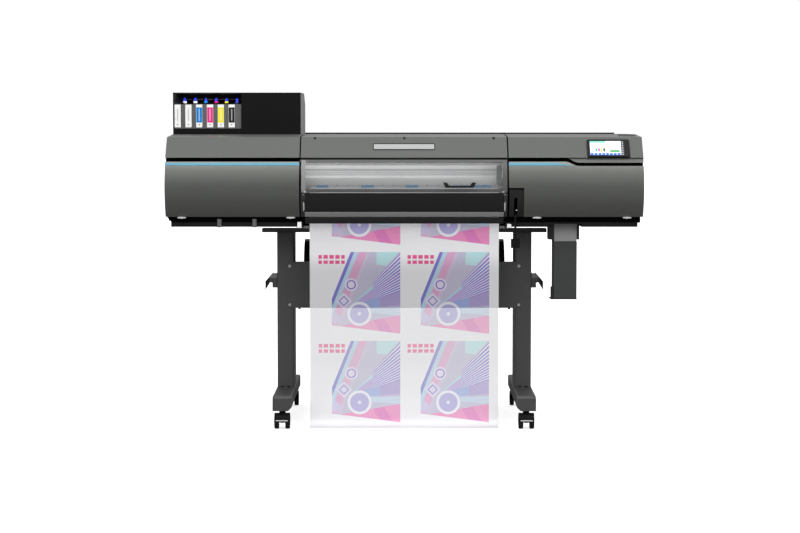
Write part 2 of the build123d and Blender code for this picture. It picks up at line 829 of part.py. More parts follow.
with BuildPart() as carriage_rail:
    block(-954, 954, rail_front_y, 62, 1012, 1078)
    for z in (1018, 1058):
        block(-955, 955, rail_front_y - 1, rail_front_y + 4, z, z + 8, Mode.SUBTRACT)
    block(-954, 954, guide_front_y, rail_front_y, guide_low_z, guide_high_z)
    block(-955, 955, 28, 56, 1024, 1068, Mode.SUBTRACT)
save(carriage_rail, "carriage_rail")


def carriage(x0, x1, head_low_z):
    """Carriage body with a shoe around the guide and a tool block hanging in front."""
    gap = 0.08
    with BuildPart() as body:
        block(x0, x1, -198, guide_front_y - gap, 1006, 1062)
        fillet(body.part.edges().filter_by(Axis.X).group_by(Axis.Y)[0], 6)
        block(x0 + 8, x1 - 8, -196, -100, head_low_z, 1007)
        block(x0 + 10, x1 - 10, guide_front_y - 1, 18, guide_high_z + gap, 1056)
        block(x0 + 10, x1 - 10, guide_front_y - 1, 18, 1028, guide_low_z - gap)
    return body


print_carriage = carriage(480, 640, 964)
save(print_carriage, "print_carriage")
cutting_carriage = carriage(-605, -515, 976)
save(cutting_carriage, "cutting_carriage")

# ---- Ink supply box ----
ink_left = -956
ink_right = -427
bay_left = -952
bay_right = -674
ink_top_z = 1348
ink_floor_z = 1199
slant_y = 282
slant_z = 1300
shelf_z = 1304
tray_pitch = 44.7
first_tray_x = -937.5
tray_half = 13.5
tray_gap = 0.6
label_half = 13
tray_top = 1300

with BuildPart() as ink_housing:
    outline = [
        (0, top_z),
        (0, ink_top_z),
        (slant_y, ink_top_z),
        (body_back, slant_z),
        (body_back, top_z),
    ]
    side_prism(outline, ink_left, ink_right)
    roof = [(slant_y - 1, ink_top_z - skin), (body_back - skin, slant_z - 2)]
    bay = [(-1, ink_floor_z), (-1, ink_top_z - skin), *roof, (body_back - skin, ink_floor_z)]
    side_prism(bay, bay_left, bay_right, Mode.SUBTRACT)
    closed = [(skin, top_z - 1), (skin, ink_top_z - skin), *roof, (body_back - skin, top_z - 1)]
    side_prism(closed, bay_right + 3, ink_right - 3, Mode.SUBTRACT)
    block(bay_left, bay_right, 272, 314, shelf_z, shelf_z + 3)
    # Upright dividers between the trays; the last one fills the space to the bay's end.
    for index in range(6):
        x0 = first_tray_x + index * tray_pitch + tray_half + tray_gap
        x1 = bay_right + 1 if index == 5 else x0 + tray_pitch - 2 * (tray_half + tray_gap)
        block(x0, x1, 6, 9, ink_floor_z - 1, tray_top)
save(ink_housing, "ink_housing")

tray_centres = [first_tray_x + index * tray_pitch for index in range(6)]

for index, x in enumerate(tray_centres):
    with BuildPart() as ink_tray:
        block(x - tray_half, x + tray_half, 10, 330, ink_floor_z + 0.4, tray_top)
        fillet(ink_tray.part.edges().filter_by(Axis.Y), 1.5)
        block(x - label_half, x + label_half, 4, 11, ink_floor_z + 5, tray_top - 2)
    save(ink_tray, f"ink_tray_{index + 1}")

with BuildPart() as ink_valves:
    for x in tray_centres:
        rod_z(x, 292, shelf_z + 3, shelf_z + 12, 9)
        with Locations((x, 292, shelf_z + 18)):
            Cone(8, 4, 14)
save(ink_valves, "ink_valves")

# ---- Supply roll ----
flange_radius = 118
spoke_holes = 6
spoke_circle = 82
flange_near = 382
flange_far = 424
flange_web = 8
flange_rim = 8
hub_radius = 50

with BuildPart() as film_roll:
    rod_x(-film_half_width, film_half_width, roll_y, roll_z, roll_radius)
    rod_x(-400, 400, roll_y, roll_z, core_radius, Mode.SUBTRACT)
save(film_roll, "film_roll")

with BuildPart() as media_flanges:
    for side in (-1, 1):
        x0, x1 = sorted((side * flange_near, side * flange_far))
        rod_x(x0, x1, roll_y, roll_z, flange_radius)
        x0, x1 = sorted((side * (flange_near + flange_web), side * (flange_far + 1)))
        rod_x(x0, x1, roll_y, roll_z, flange_radius - flange_rim, Mode.SUBTRACT)
        x0, x1 = sorted((side * (flange_near + 1), side * flange_far))
        rod_x(x0, x1, roll_y, roll_z, hub_radius)
        x0, x1 = sorted((side * 330, side * (flange_near + 1)))
        rod_x(x0, x1, roll_y, roll_z, core_radius)
        x0, x1 = sorted((side * (flange_far - 1), side * 454))
        rod_x(x0, x1, roll_y, roll_z, stub_radius)
    for index in range(spoke_holes):
        angle = radians(index * 360 / spoke_holes)
        y = roll_y + spoke_circle * cos(angle)
        z = roll_z + spoke_circle * sin(angle)
        rod_x(-420, 420, y, z, 15, Mode.SUBTRACT)
save(media_flanges, "media_flanges")

support_outline = [(-44, 560), (-44, 640), (90, 633), (285, 624), (285, 590), (90, 560)]

with BuildPart() as roll_supports:
    for side in (-1, 1):
        x0, x1 = sorted((side * 449, side * 455))
        side_prism(support_outline, x0, x1)
        rod_x(x0 - 1, x1 + 1, roll_y, roll_z, stub_radius + running_gap, Mode.SUBTRACT)
save(roll_supports, "roll_supports")

# ---- Film web ----
floor_bend = 29
floor_centre_z = 1 + floor_bend
web_end_y = -346
web_start_z = 600


with BuildPart() as film_web:
    with BuildSketch(Plane.YZ.offset(-film_half_width)):
        with BuildLine():
            h = film_half_thick
            floor_y = film_front_y - floor_bend
            Line((film_back_y + h, web_start_z), (film_back_y + h, web_rear_centre[1]))
            CenterArc(web_rear_centre, rear_bend + h, 0, 90)
            Line((web_rear_centre[0], film_z + h), (web_front_centre[0], film_z + h))
            CenterArc(web_front_centre, front_bend + h, 90, 90)
            Line((film_front_y - h, web_front_centre[1]), (film_front_y - h, floor_centre_z))
            CenterArc((floor_y, floor_centre_z), floor_bend - h, 0, -90)
            Polyline((floor_y, 1 + h), (web_end_y, 1 + h), (web_end_y, 1 - h), (floor_y, 1 - h))
            CenterArc((floor_y, floor_centre_z), floor_bend + h, 0, -90)
            Line((film_front_y + h, floor_centre_z), (film_front_y + h, web_front_centre[1]))
            CenterArc(web_front_centre, front_bend - h, 90, 90)
            Line((web_front_centre[0], film_z - h), (web_rear_centre[0], film_z - h))
            CenterArc(web_rear_centre, rear_bend - h, 0, 90)
            Polyline(
                (film_back_y - h, web_rear_centre[1]),
                (film_back_y - h, web_start_z),
                (film_back_y + h, web_start_z),
            )
        make_face()
    extrude(amount=2 * film_half_width)
save(film_web, "film_web")

# ---- Waste bottle under the right end ----
drain_front_y = -215
drain_back_y = -127
drain_left = 604
drain_right = 699
drain_floor_z = 509
drain_plate_z = 745
cheek_low_z = 752
cheek_spans = ((584, 607), (697, 708))
bottle_low_z = drain_floor_z + skin + 0.6
bottle_top_z = 743.5
bottle_cap = (651, -172)
cap_radius = 19

with BuildPart() as drain_bracket:
    block(drain_left - 1, drain_right + 1, drain_back_y - skin, drain_back_y, drain_floor_z, recess_z)
    block(drain_left - 1, drain_right + 1, drain_front_y, drain_back_y, drain_floor_z, drain_floor_z + skin)
    # Plate across the front above the bottle, with a bent cheek on either side.
    block(drain_left + 3, drain_right - 2, drain_front_y, drain_front_y + 2, drain_plate_z, recess_z)
    for x0, x1 in cheek_spans:
        block(x0, x1, drain_front_y + 1, drain_front_y + 8, cheek_low_z, recess_z)
        outer = x0 if x0 < drain_left else x1 - skin
        block(outer, outer + skin, drain_front_y + 6, drain_back_y, cheek_low_z, recess_z)
    block(cheek_spans[0][0], cheek_spans[1][1], drain_back_y - skin, drain_back_y, cheek_low_z, recess_z)
    # Stop at the lower left corner that the bottle stands against.
    block(drain_left - 11, drain_left - 0.5, drain_front_y, drain_front_y + 12, drain_floor_z, 561)
    block(drain_left - 11, drain_left, drain_front_y, drain_back_y, drain_floor_z, drain_floor_z + skin)
save(drain_bracket, "drain_bracket")

with BuildPart() as drain_bottle:
    block(drain_left, drain_right, drain_front_y + 1, drain_back_y - 5, bottle_low_z, bottle_top_z)
    fillet(drain_bottle.part.edges().filter_by(Axis.Z), 6)
    rod_z(*bottle_cap, bottle_top_z - 12, bottle_top_z + 1, cap_radius + 7, Mode.SUBTRACT)
    rod_z(*bottle_cap, bottle_top_z - 13, bottle_top_z - 1, cap_radius)
save(drain_bottle, "drain_bottle")
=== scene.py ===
import math

import bpy
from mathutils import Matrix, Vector


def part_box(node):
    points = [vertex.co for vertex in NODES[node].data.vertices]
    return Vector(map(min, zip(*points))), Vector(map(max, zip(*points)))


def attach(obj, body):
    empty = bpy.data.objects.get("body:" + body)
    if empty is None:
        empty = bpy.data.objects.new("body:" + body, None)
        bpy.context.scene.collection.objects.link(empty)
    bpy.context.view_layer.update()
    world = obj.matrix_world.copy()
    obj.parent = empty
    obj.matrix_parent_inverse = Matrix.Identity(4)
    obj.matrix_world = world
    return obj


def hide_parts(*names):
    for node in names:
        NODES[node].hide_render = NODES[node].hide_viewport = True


# A roll printer cutter on a wheeled stand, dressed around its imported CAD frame.
# Lengths are metres in the row frame: X to the right, Y to the back, Z up from the floor.

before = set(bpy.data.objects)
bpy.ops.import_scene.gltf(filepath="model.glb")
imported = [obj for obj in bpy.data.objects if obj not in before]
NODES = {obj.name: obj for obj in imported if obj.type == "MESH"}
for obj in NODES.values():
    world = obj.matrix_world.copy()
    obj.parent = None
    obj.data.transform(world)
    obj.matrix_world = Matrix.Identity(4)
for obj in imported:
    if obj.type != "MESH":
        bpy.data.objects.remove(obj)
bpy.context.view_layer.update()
MICRON = 0.000001
MM_PER_METRE = 1000


def linear(r, g, b):
    """Linear colour from 0-255 sRGB values."""
    def one(v):
        v = v / 255
        return v / 12.92 if v <= 0.04045 else ((v + 0.055) / 1.055) ** 2.4
    return (one(r), one(g), one(b), 1.0)


def grey(value):
    return linear(value, value, value)


# ---------------------------------------------------------------- shader helpers


class Num:
    """A number in a shader; arithmetic on it adds Math nodes."""

    def __init__(self, shader, socket):
        self.shader = shader
        self.socket = socket

    def op(self, kind, *others):
        node = self.shader.node("Math")
        node.operation = kind
        for slot, value in zip(node.inputs, (self, *others)):
            self.shader.put(slot, value)
        return Num(self.shader, node.outputs[0])

    def __add__(self, other):
        return self.op("ADD", other)

    __radd__ = __add__

    def __sub__(self, other):
        return self.op("SUBTRACT", other)

    def __rsub__(self, other):
        return (self * -1) + other

    def __mul__(self, other):
        return self.op("MULTIPLY", other)

    def __truediv__(self, other):
        return self.op("DIVIDE", other)

    def __lt__(self, other):
        return self.op("LESS_THAN", other)

    def __gt__(self, other):
        return self.op("GREATER_THAN", other)

    def abs(self):
        return self.op("ABSOLUTE")

    def floor(self):
        return self.op("FLOOR")

    def clamp(self, low=0.0, high=1.0):
        return self.op("MINIMUM", high).op("MAXIMUM", low)

    def between(self, low, high):
        """1 inside a span and 0 outside it."""
        return (self > low) * (self < high)

    def near(self, centre, half):
        """1 within half of a centre and 0 beyond it."""
        return (self - centre).abs() < half

    def repeat(self, rate):
        """A saw tooth from 0 to 1, rate times per unit."""
        return (self * rate).op("FRACT")

    def above(self, start, slope):
        """0 up to start, then rising by slope to 1."""
        return ((self - start) * slope).clamp()

    def below(self, start, slope):
        """0 from start up, and below it rising by slope to 1."""
        return ((start - self) * slope).clamp()


def length(across, up):
    """Distance from an axis, from two Nums at right angles to it."""
    return (across * across + up * up).op("SQRT")


class Tree:
    """A node tree that is cleared and then built up."""

    def __init__(self, owner):
        owner.use_nodes = True
        self.nodes, self.links = owner.node_tree.nodes, owner.node_tree.links
        self.nodes.clear()

    def put(self, slot, value):
        """Link a Num or a socket to an input, or set the input to a constant."""
        if isinstance(value, Num):
            value = value.socket
        if isinstance(value, bpy.types.NodeSocket):
            self.links.new(value, slot)
        else:
            slot.default_value = value

    def node(self, kind, **inputs):
        """New node with its inputs put by name; _ stands for a space."""
        node = self.nodes.new("ShaderNode" + kind)
        for name, value in inputs.items():
            self.put(node.inputs[name.replace("_", " ")], value)
        return node

    def split(self, vector):
        """The three parts of a vector as Nums."""
        node = self.node("SeparateXYZ", Vector=vector)
        return [Num(self, socket) for socket in node.outputs]

    def blend_shaders(self, amount, first, second):
        node = self.node("MixShader")
        for slot, value in zip(node.inputs, (amount, first, second)):
            self.put(slot, value)
        return node.outputs[0]


class Shader(Tree):
    """A material being built from nodes. x, y, z are the row frame in metres at rest."""

    # Where ShaderNodeMix keeps the sockets of its colour mode.
    MIX_AMOUNT, MIX_FIRST, MIX_SECOND, MIX_RESULT = 0, 6, 7, 2

    def __init__(self, name):
        self.material = bpy.data.materials.new(name)
        super().__init__(self.material)
        self.place = self.node("TexCoord").outputs["Object"]
        self.x, self.y, self.z = self.split(self.place)
        self.up = self.split(self.node("NewGeometry").outputs["Normal"])[2]

    def noise(self, scale, detail=3.0, rough=0.5, stretch=None):
        place = self.place
        if stretch:
            node = self.node("VectorMath")
            node.operation = "MULTIPLY"
            self.put(node.inputs[0], place)
            self.put(node.inputs[1], stretch)
            place = node.outputs[0]
        node = self.node("TexNoise", Vector=place, Scale=scale, Detail=detail, Roughness=rough)
        return Num(self, node.outputs["Fac"])

    def flakes(self, scale):
        """A random number for each small cell."""
        cells = self.node("TexVoronoi", Vector=self.place, Scale=scale)
        parts = self.node("SeparateColor", Color=cells.outputs["Color"])
        return Num(self, parts.outputs[0])

    def color(self, value):
        """Socket that gives a constant colour; a socket passes through."""
        if not isinstance(value, tuple):
            return value
        node = self.node("RGB")
        node.outputs[0].default_value = value
        return node.outputs[0]

    def mix(self, amount, first, second):
        """First colour where amount is 0, second where it is 1."""
        node = self.node("Mix")
        node.data_type = "RGBA"
        self.put(node.inputs[self.MIX_AMOUNT], amount)
        self.put(node.inputs[self.MIX_FIRST], first)
        self.put(node.inputs[self.MIX_SECOND], second)
        return node.outputs[self.MIX_RESULT]

    def shade(self, color, factor):
        """Colour multiplied by a number."""
        node = self.node("VectorMath")
        node.operation = "SCALE"
        self.put(node.inputs[0], self.color(color))
        self.put(node.inputs["Scale"], factor)
        return node.outputs[0]

    def bump(self, height, distance, strength=1.0, **normal):
        """Normal bumped by a height; Normal= builds on another bump."""
        node = self.node("Bump", Strength=strength, Distance=distance, Height=height, **normal)
        return node.outputs[0]

    def principled(self, color, rough, **extra):
        node = self.node("BsdfPrincipled", Base_Color=color, Roughness=rough, **extra)
        return node.outputs[0]

    def finish(self, surface):
        self.node("OutputMaterial", Surface=surface)
        return self.material


def moulded(name, color=None, rough=0.45, grain=900, grain_microns=60, metallic=0.0, flake=0.0,
            coat=0.0, dust=0.05, wear=0.03, shine=0.5, paint=None):
    """Painted or moulded surface: cloudy tone, grain, smudges, faint scratches, settled dust."""
    sh = Shader(name)
    cloud = sh.noise(5, detail=4)
    smudge = sh.noise(23, detail=5, rough=0.6)
    fine = sh.noise(grain, detail=2, rough=0.6)
    scratch = sh.noise(40, detail=2, stretch=(1.0, 6.0, 14.0)).above(0.66, slope=14.0)
    base = paint(sh) if paint else sh.color(color)
    base = sh.shade(base, 0.94 + cloud * 0.12)
    if flake:
        base = sh.shade(base, 1 - flake / 2 + sh.flakes(2600) * flake)
    base = sh.mix(scratch * wear, base, linear(190, 190, 186))
    settled = sh.up.above(0.7, slope=3.0) * (0.35 + smudge) * dust
    base = sh.mix(settled, base, linear(168, 166, 160))
    roughness = (rough - 0.07 + smudge * 0.14 + scratch * wear + settled * 0.6).clamp()
    grained = sh.bump(fine, grain_microns * MICRON)
    uneven = sh.bump(sh.noise(14, detail=2), 400 * MICRON, strength=0.35, Normal=grained)
    return sh.finish(sh.principled(base, roughness, Normal=uneven, Metallic=metallic,
                                   Coat_Weight=coat, Coat_Roughness=0.22,
                                   Specular_IOR_Level=shine))


GRAIN_ALONG = {"x": (0.03, 1, 1), "y": (1, 0.03, 1)}


def brushed(name, color=None, rough=0.3, along="x", metallic=1.0, paint=None):
    """Drawn or ground metal with grain along one axis, and stains."""
    sh = Shader(name)
    grain = sh.noise(700, detail=3, rough=0.6, stretch=GRAIN_ALONG[along])
    stain = sh.noise(17, detail=5, rough=0.6)
    base = paint(sh) if paint else sh.color(color)
    base = sh.shade(base, 0.88 + grain * 0.16 + stain * 0.08)
    roughness = (rough - 0.08 + grain * 0.12 + stain * 0.1).clamp()
    ground = sh.bump(grain, 30 * MICRON)
    return sh.finish(sh.principled(base, roughness, Normal=ground, Metallic=metallic))


# ---------------------------------------------------------------- paints
# A paint gives the base colour of one CAD node's surface. Each span below is (low, high).

# Height band of the painted highlight where the slope of the covers rolls over into the top.
CREST_HIGHLIGHT_Z = (1.1655, 1.1755)


def upper_paint(sh):
    """Grey cover paint, with a painted highlight where the slope rolls over into the top."""
    cover, crest_highlight = linear(87, 89, 86), linear(102, 104, 101)
    return sh.mix(sh.z.between(*CREST_HIGHLIGHT_Z), cover, crest_highlight)


FRONT_SHADE_MIDDLE_Z = 0.945
FRONT_HIGHLIGHT_Z = 1.02


def front_paint(sh):
    """Grey metallic with painted shading, darker towards the foot, and a painted highlight along
    the top edge.
    """
    # Painted shade that grows towards the foot, then a painted highlight along the top edge.
    tone = ((sh.z - FRONT_SHADE_MIDDLE_Z) * 4).clamp(-0.16, 0.06)
    edge = sh.z.above(FRONT_HIGHLIGHT_Z, slope=7) * 0.16
    return sh.shade(linear(104, 106, 102), 1 + tone + edge)


FOOT_TOP_Z = (0.12, 0.14)
FACING_UP = 0.8


def stand_coat(sh):
    """Dark grey powder coat, deeper on the tops of the feet."""
    powder, foot_top = linear(66, 67, 66), linear(46, 47, 46)
    return sh.mix((sh.up > FACING_UP) * sh.z.between(*FOOT_TOP_Z), powder, foot_top)


HOOK_HIGHLIGHT_Z = 0.586
HOOK_TIP_X = 0.5545


def hook_paint(sh):
    """Folded hook: grey body with a painted highlight on its upper face, and a black tip."""
    body, face, tip = grey(62), grey(104), grey(8)
    # Painted highlight on the upper face of the hook.
    color = sh.mix(sh.z > HOOK_HIGHLIGHT_Z, body, face)
    return sh.mix(sh.x.abs() > HOOK_TIP_X, color, tip)


CASTER_X = 0.489
CASTER_HIGHLIGHT_HALF = 0.024
CASTER_HIGHLIGHT_FRONT_Y = 0.360
CASTER_HIGHLIGHT_Z = (0.0345, 0.0385)


def caster_paint(sh):
    """Black hood with a painted highlight strip along its outer end."""
    hood, painted_light = grey(4), grey(196)
    # Strip of painted highlight low on the outer end of each hood.
    strip = (sh.z.between(*CASTER_HIGHLIGHT_Z) * (sh.y.abs() > CASTER_HIGHLIGHT_FRONT_Y)
             * sh.x.abs().near(CASTER_X, CASTER_HIGHLIGHT_HALF))
    return sh.mix(strip, hood, painted_light)


AXLE_Y, AXLE_Z = 0.341, 0.030
HUB_RADIUS = 0.021


def wheel_paint(sh):
    """Dark tread with a grey hub, by distance from the axle."""
    tread, hub = linear(14, 14, 15), linear(60, 61, 62)
    radius = length(sh.y.abs() - AXLE_Y, sh.z - AXLE_Z)
    return sh.mix(radius < HUB_RADIUS, tread, hub)


BADGE_BORDER_X = 0.004
BADGE_BORDER_Z = 0.0042


def badge_paint(sh):
    """Plain satin plate inside a dark border."""
    border, plate = grey(26), linear(168, 169, 169)
    low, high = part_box("badge")
    inside = (sh.x.between(low[0] + BADGE_BORDER_X, high[0] - BADGE_BORDER_X)
              * sh.z.between(low[2] + BADGE_BORDER_Z, high[2] - BADGE_BORDER_Z))
    return sh.mix(inside, border, plate)


FRAME_LEFT_X = -0.3938
FRAME_GROOVE_SHADE_Z = 1.0748
CORNER_X, CORNER_Z = (0.3915, 0.3995), (0.9440, 0.9500)


def frame_paint(sh):
    """Grey window frame: painted light on the left side, a white mark low in each corner, and a
    black top edge as painted shade of the groove above.
    """
    bar, left_painted_light, mark, top = grey(84), grey(132), grey(226), grey(5)
    # The left side is painted lighter, as painted light.
    color = sh.mix(sh.x < FRAME_LEFT_X, bar, left_painted_light)
    color = sh.mix(sh.x.abs().between(*CORNER_X) * sh.z.between(*CORNER_Z), color, mark)
    # The top edge is painted black as the shade in the groove under the cover.
    return sh.mix(sh.z > FRAME_GROOVE_SHADE_Z, color, top)


LOWER_BAND_Z = (0.80, 0.824)
LEVER_PANEL_X, LEVER_PANEL_Z = (0.4195, 0.4775), (0.8475, 0.9570)
LEVER_PANEL_Y = -0.270
POST_PAIR_X = 0.6725            # to the left of the middle
POST_SIDES = (0.060, 0.080)     # each way from the middle of the pair
POST_Y = -0.2685
POST_TOP_Z = 0.8385


def tray_black(sh):
    """Black, darkened to near black above a dark grey lower band as painted shade under the
    overhang above, with two grey posts and a grey panel round the lever.
    """
    black, band, lever_panel, post = grey(1), grey(30), grey(40), grey(104)
    # Above the lower band the black is darkened to near black as painted shade under the overhang.
    color = sh.mix(sh.z.between(*LOWER_BAND_Z), black, band)
    panel = (sh.x.between(*LEVER_PANEL_X) * sh.z.between(*LEVER_PANEL_Z)
             * (sh.y < LEVER_PANEL_Y))
    color = sh.mix(panel, color, lever_panel)
    posts = ((sh.x + POST_PAIR_X).abs().between(*POST_SIDES) * (sh.y < POST_Y)
             * (sh.z < POST_TOP_Z))
    return sh.mix(posts, color, post)


FOOT_BOLTS_Z = 0.2


def screw_paint(sh):
    """Bright screws in the crossbeam, dark bolts on the feet."""
    return sh.mix(sh.z < FOOT_BOLTS_Z, linear(190, 191, 194), grey(12))


BRACKET_X = 0.3982
BRACKET_HIGHLIGHT_X, BRACKET_HIGHLIGHT_HALF = 0.4020, 0.0022
BRACKET_HIGHLIGHT_Z = (0.875, 0.903)
SCREW_LINE_X, SCREW_HALF = 0.4035, 0.0016
SCREWS_PER_METRE = 31
SCREW_SHARE = 0.10              # of the spacing between screws


def lip_paint(sh):
    """Grey lip between two dark end brackets, each with a painted highlight along its edge, and
    bright screws.
    """
    lip, bracket, bright = grey(134), grey(40), grey(196)
    side = sh.x.abs()
    beside = side > BRACKET_X
    mark = side.near(BRACKET_HIGHLIGHT_X, BRACKET_HIGHLIGHT_HALF) * sh.z.between(*BRACKET_HIGHLIGHT_Z)
    screw = side.near(SCREW_LINE_X, SCREW_HALF) * (sh.z.repeat(SCREWS_PER_METRE) < SCREW_SHARE)
    color = sh.mix(beside, lip, bracket)
    # The bright grey serves both the painted highlight on each bracket edge and the screw heads.
    return sh.mix(((mark + screw) * beside).clamp(), color, bright)


HOUSING_SIDE_X = -0.4275
DIVIDER_X, DIVIDER_Y, DIVIDER_Z = (-0.9375, -0.6735), (0.0052, 0.0092), (1.1995, 1.3005)


def housing_paint(sh):
    """Black ink box with a grey right side and grey dividers in the bay."""
    black, side, divider = linear(6, 7, 6), linear(160, 161, 161), linear(98, 98, 99)
    color = sh.mix(sh.x > HOUSING_SIDE_X, black, side)
    dividers = (sh.y.between(*DIVIDER_Y) * sh.z.between(*DIVIDER_Z)
                * sh.x.between(*DIVIDER_X))
    return sh.mix(dividers, color, divider)


# Painted highlight and shade of the extruded rail below each height, from the top down; the darker
# bands at the top are painted shadow under the cover.
RAIL_LIGHT_AND_SHADE = (
    (1.0585, 120), (1.0545, 105), (1.0505, 112), (1.0485, 162), (1.0440, 198), (1.0400, 190),
    (1.0350, 188), (1.0310, 150), (1.0270, 166), (1.0225, 190), (1.0185, 168), (1.0140, 188),
    (1.0100, 170), (1.0060, 194), (1.0020, 206), (0.9965, 207), (0.9925, 184), (0.9880, 168),
    (0.9840, 174), (0.9795, 162), (0.9755, 146), (0.9715, 152), (0.9670, 160),
)


def rail_paint(sh):
    """Ribs and grooves of the extruded rail, as bands of painted highlight and painted shade up
    its height.
    """
    color = sh.color(grey(14))
    for height, tone in RAIL_LIGHT_AND_SHADE:
        color = sh.mix(sh.z < height, color, grey(tone))
    return color


DRAIN_PLATE_X, DRAIN_PLATE_Z = (0.6065, 0.6975), (0.744, 0.819)
DRAIN_PLATE_Y = -0.2125


def drain_paint(sh):
    """Grey painted front plate between dark cheeks."""
    cheek, front_plate = grey(30), grey(138)
    plate = (sh.x.between(*DRAIN_PLATE_X) * sh.z.between(*DRAIN_PLATE_Z)
             * (sh.y < DRAIN_PLATE_Y))
    return sh.mix(plate, cheek, front_plate)


WHITE = linear(248, 248, 246)
TRAY_PITCH = 0.0447
FIRST_TRAY_X = -0.9375
INKS = (WHITE, WHITE, linear(0, 130, 214), linear(242, 40, 140), linear(250, 238, 40),
        linear(18, 18, 20))
WHITE_INKS = 2                  # the first two trays hold white ink
FACE_Y = 0.0095
FACE_LOW_Z = 1.2045
FACE_HALF = 0.0128
LABEL_HALF, LABEL_Z = 0.0120, (1.224, 1.287)
BAR_HALF, BAR_Z = 0.0024, (1.232, 1.280)
BARS_PER_METRE = 260
BAR_GAP_SHARE = 0.45            # of the spacing between bars
DOT_Z, DOT_RADIUS = 1.216, 0.0032
MARK_STRENGTH = 0.8


def tray_x(index):
    return FIRST_TRAY_X + index * TRAY_PITCH


def tray_paint(index):
    """Grey tray whose white front carries an ink coloured label with plain bars, and a dot."""
    def paint(sh):
        side = sh.x - tray_x(index)
        face = (sh.y < FACE_Y) * side.between(-FACE_HALF, FACE_HALF) * (sh.z > FACE_LOW_Z)
        label = side.between(-LABEL_HALF, LABEL_HALF) * sh.z.between(*LABEL_Z)
        bars = ((sh.z.repeat(BARS_PER_METRE) > BAR_GAP_SHARE) * side.between(-BAR_HALF, BAR_HALF)
                * sh.z.between(*BAR_Z))
        bar_ink = linear(120, 120, 122) if index < WHITE_INKS else WHITE
        color = sh.mix(bars * MARK_STRENGTH, INKS[index], bar_ink)
        color = sh.mix(label, linear(252, 252, 250), color)
        dot = length(side, sh.z - DOT_Z) < DOT_RADIUS
        color = sh.mix(dot * MARK_STRENGTH, color, linear(110, 112, 114))
        return sh.mix(face, linear(150, 150, 151), color)

    return paint


KNOB_LOW_Z = 1.3158


def knob_paint(sh):
    """Blue knobs; the collar below each takes its ink's colour, or a dull blue for black."""
    collars = (*INKS[:-1], linear(70, 80, 170))
    color = sh.color(collars[0])
    for index, collar in enumerate(collars[1:], 1):
        color = sh.mix(sh.x.near(tray_x(index), TRAY_PITCH / 2), color, collar)
    return sh.mix(sh.z > KNOB_LOW_Z, color, linear(52, 72, 250))


# Steps of painted shading up the marker strip, lighter towards the top: height, grey tone, blue
# tone.
MARKER_SHADE_STEPS = ((0.9735, 196, 195), (0.9800, 206, 206), (0.9865, 214, 214), (0.9905, 226, 226),
                (0.9960, 240, 240))
MARKS = ((-0.331, 0.024), (-0.148, 0.026), (0.031, 0.026), (0.275, 0.079))
MARK_Z = (0.9600, 0.9715)
TICKS_PER_METRE, TICK_SHARE = 22, 0.07
TICK_Z = (0.968, 0.973)


def marker_paint(sh):
    """Blue roller marks and small ticks along the strip above the film, with painted shading that
    grows lighter step by step towards the top.
    """
    color = linear(176, 177, 178)
    for height, tone, blue in MARKER_SHADE_STEPS:
        color = sh.mix(sh.z > height, color, linear(tone, tone, blue))
    in_marks = sh.z.between(*MARK_Z)
    for centre, half in MARKS:
        color = sh.mix(sh.x.near(centre, half) * in_marks, color, linear(84, 138, 180))
    ticks = (sh.x.repeat(TICKS_PER_METRE) < TICK_SHARE) * sh.z.between(*TICK_Z)
    return sh.mix(ticks, color, linear(90, 92, 94))


ROLL_Y, ROLL_Z = 0.255, 0.610
ROLL_END_X = 0.3805
RINGS_PER_METRE = 900


def coil_paint(sh):
    """Fine rings on the ends of the roll."""
    radius = length(sh.y - ROLL_Y, sh.z - ROLL_Z)
    rings = (radius * RINGS_PER_METRE + sh.noise(60, detail=2) * 0.8).op("FRACT")
    color = sh.mix(sh.x.abs() > ROLL_END_X, linear(228, 228, 232), linear(206, 206, 210))
    return sh.shade(color, 0.93 + rings * 0.07)


# ---------------------------------------------------------------- screen and window pane

SCREEN_LOW, SCREEN_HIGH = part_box("touch_screen")
SCREEN_BARS = (linear(0, 150, 190), linear(220, 40, 130), linear(245, 220, 60), linear(30, 30, 34))
BAR_LEFT, BAR_PITCH, BAR_WIDTH = 0.16, 0.075, 0.05
BAR_V = (0.26, 0.50)
HEADER_RIGHT_U, HEADER_LOW_V = 0.45, 0.88
STATUS_U, STATUS_V = (0.58, 0.86), (0.22, 0.36)
BUTTONS, BUTTON_SHARE, BUTTON_V = 9, (0.08, 0.92), (0.02, 0.15)
ICON_COLUMN_U = 0.905
ICONS, ICON_SHARE, ICON_U = 8, (0.25, 0.75), (0.93, 0.97)


def screen_paint(sh):
    """Plain blocks in place of a menu. u and v run from 0 to 1 across and up the screen."""
    u = (sh.x - SCREEN_LOW[0]) / (SCREEN_HIGH[0] - SCREEN_LOW[0])
    v = (sh.z - SCREEN_LOW[2]) / (SCREEN_HIGH[2] - SCREEN_LOW[2])
    header = (v > HEADER_LOW_V) * (u < HEADER_RIGHT_U)
    color = sh.mix(header, sh.color(linear(232, 240, 240)), linear(110, 196, 176))
    for index, ink in enumerate(SCREEN_BARS):
        left = BAR_LEFT + index * BAR_PITCH
        color = sh.mix(u.between(left, left + BAR_WIDTH) * v.between(*BAR_V), color, ink)
    status = u.between(*STATUS_U) * v.between(*STATUS_V)
    color = sh.mix(status, color, linear(40, 150, 70))
    buttons = u.repeat(BUTTONS).between(*BUTTON_SHARE) * v.between(*BUTTON_V)
    color = sh.mix(buttons, color, linear(30, 100, 230))
    color = sh.mix(u > ICON_COLUMN_U, color, linear(40, 42, 46))
    icons = v.repeat(ICONS).between(*ICON_SHARE) * u.between(*ICON_U)
    return sh.mix(icons, color, linear(170, 172, 176))


